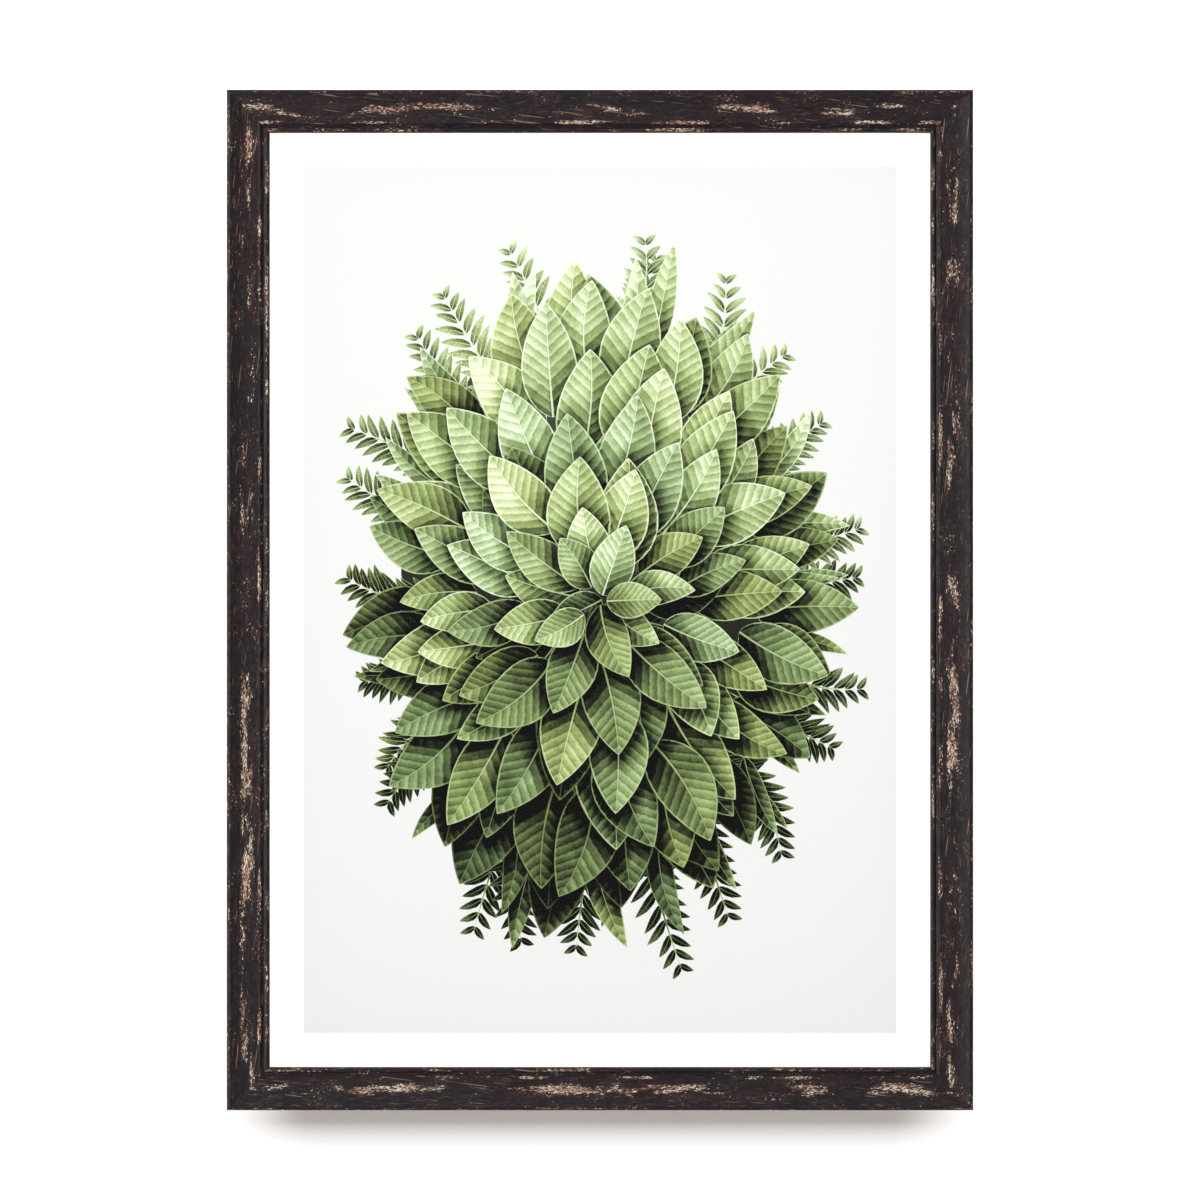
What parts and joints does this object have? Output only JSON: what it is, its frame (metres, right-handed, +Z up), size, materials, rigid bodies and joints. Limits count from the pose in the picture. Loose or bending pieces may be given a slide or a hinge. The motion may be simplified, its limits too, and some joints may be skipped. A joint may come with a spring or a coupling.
{
  "type": "framed botanical print",
  "caption": "Portrait wall picture: a printed paper sheet behind clear glazing in a slim, distressed dark wood frame, with a back board held by turn buttons and a sawtooth hanger.",
  "frame": {"origin": "where the wall nail bears: the tip of the sawtooth hanger's middle notch, on the plane of the rails' backs", "axes": "+Z up the picture; the picture faces -Y and its back faces +Y; +X to the right as seen from the front"},
  "size_m": [0.335, 0.0194, 0.458],
  "materials": {
    "painted_wood": "satin, worn through to pale wood in streaks",
    "clear_acrylic": "clear, polished",
    "printed_paper": "matt",
    "grey_card": "matt",
    "hardboard": "smooth-faced hardboard",
    "zinc_plate": "bright zinc plate",
    "brassed_steel": "thin brass plate on steel"
  },
  "bodies": {
    "frame": {"rail_top": "painted_wood", "rail_right": "painted_wood", "rail_bottom": "painted_wood", "rail_left": "painted_wood", "glazing": "clear_acrylic", "print_sheet": "printed_paper", "support_card": "grey_card", "back_board": "hardboard", "button_screw_top_1": "zinc_plate", "button_screw_top_2": "zinc_plate", "button_screw_right_1": "zinc_plate", "button_screw_right_2": "zinc_plate", "button_screw_bottom_1": "zinc_plate", "button_screw_bottom_2": "zinc_plate", "button_screw_left_1": "zinc_plate", "button_screw_left_2": "zinc_plate", "sawtooth_hanger": "brassed_steel", "hanger_nail_1": "brassed_steel", "hanger_nail_2": "brassed_steel", "v_nail_top_right_inner": "zinc_plate", "v_nail_top_right_outer": "zinc_plate", "v_nail_bottom_right_inner": "zinc_plate", "v_nail_bottom_right_outer": "zinc_plate", "v_nail_bottom_left_inner": "zinc_plate", "v_nail_bottom_left_outer": "zinc_plate", "v_nail_top_left_inner": "zinc_plate", "v_nail_top_left_outer": "zinc_plate"},
    "button_top_1": {"turn_button_top_1": "zinc_plate"},
    "button_top_2": {"turn_button_top_2": "zinc_plate"},
    "button_right_1": {"turn_button_right_1": "zinc_plate"},
    "button_right_2": {"turn_button_right_2": "zinc_plate"},
    "button_bottom_1": {"turn_button_bottom_1": "zinc_plate"},
    "button_bottom_2": {"turn_button_bottom_2": "zinc_plate"},
    "button_left_1": {"turn_button_left_1": "zinc_plate"},
    "button_left_2": {"turn_button_left_2": "zinc_plate"}
  },
  "joints": [
    {"name": "button_top_1_turn", "type": "hinge", "parent": "frame", "child": "button_top_1", "pos_m": [-0.085, 0.00075, 0.003], "axis": [0, 1, 0], "continuous": true},
    {"name": "button_top_2_turn", "type": "hinge", "parent": "frame", "child": "button_top_2", "pos_m": [0.085, 0.00075, 0.003], "axis": [0, 1, 0], "continuous": true},
    {"name": "button_right_1_turn", "type": "hinge", "parent": "frame", "child": "button_right_1", "pos_m": [0.16, 0.00075, -0.0985], "axis": [0, 1, 0], "continuous": true},
    {"name": "button_right_2_turn", "type": "hinge", "parent": "frame", "child": "button_right_2", "pos_m": [0.16, 0.00075, -0.3385], "axis": [0, 1, 0], "continuous": true},
    {"name": "button_bottom_1_turn", "type": "hinge", "parent": "frame", "child": "button_bottom_1", "pos_m": [0.085, 0.00075, -0.44], "axis": [0, 1, 0], "continuous": true},
    {"name": "button_bottom_2_turn", "type": "hinge", "parent": "frame", "child": "button_bottom_2", "pos_m": [-0.085, 0.00075, -0.44], "axis": [0, 1, 0], "continuous": true},
    {"name": "button_left_1_turn", "type": "hinge", "parent": "frame", "child": "button_left_1", "pos_m": [-0.16, 0.00075, -0.3385], "axis": [0, 1, 0], "continuous": true},
    {"name": "button_left_2_turn", "type": "hinge", "parent": "frame", "child": "button_left_2", "pos_m": [-0.16, 0.00075, -0.0985], "axis": [0, 1, 0], "continuous": true}
  ]
}
